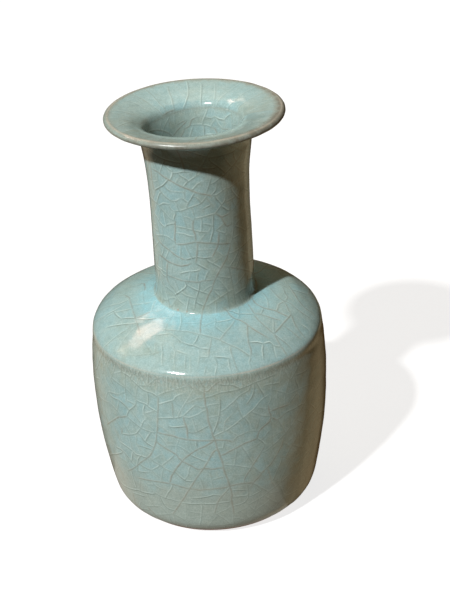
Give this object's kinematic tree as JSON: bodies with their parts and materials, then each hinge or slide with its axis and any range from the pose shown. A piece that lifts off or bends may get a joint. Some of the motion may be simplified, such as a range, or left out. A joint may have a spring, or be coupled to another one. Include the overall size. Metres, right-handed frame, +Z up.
{
  "type": "bottle vase",
  "caption": "Crackle-glazed ceramic bottle vase with a drum body, domed shoulder, straight neck and wide dish mouth, standing on a low unglazed foot ring.",
  "frame": {"origin": "centre of the foot ring's standing face, on the axis of revolution", "axes": "+Z up along the axis of revolution, X and Y in the standing plane"},
  "size_m": [0.1274, 0.1274, 0.225],
  "materials": {
    "clay_body": "fired grey-brown stoneware, matt",
    "foot_clay": "bare stoneware burnt reddish brown, matt",
    "luting_slip": "fired slip, matt",
    "celadon_glaze": "semi-gloss pale blue-green glaze with brown and white crackle"
  },
  "bodies": {
    "root": {"foot_ring": "foot_clay", "seam_foot": "luting_slip", "base_disc": "clay_body", "seam_base": "luting_slip", "body_wall": "clay_body", "seam_shoulder": "luting_slip", "shoulder": "clay_body", "seam_neck": "luting_slip", "neck_tube": "clay_body", "seam_mouth": "luting_slip", "mouth_flange": "clay_body", "glaze_outside": "celadon_glaze", "glaze_inside": "celadon_glaze", "glaze_underside": "celadon_glaze"}
  },
  "joints": []
}
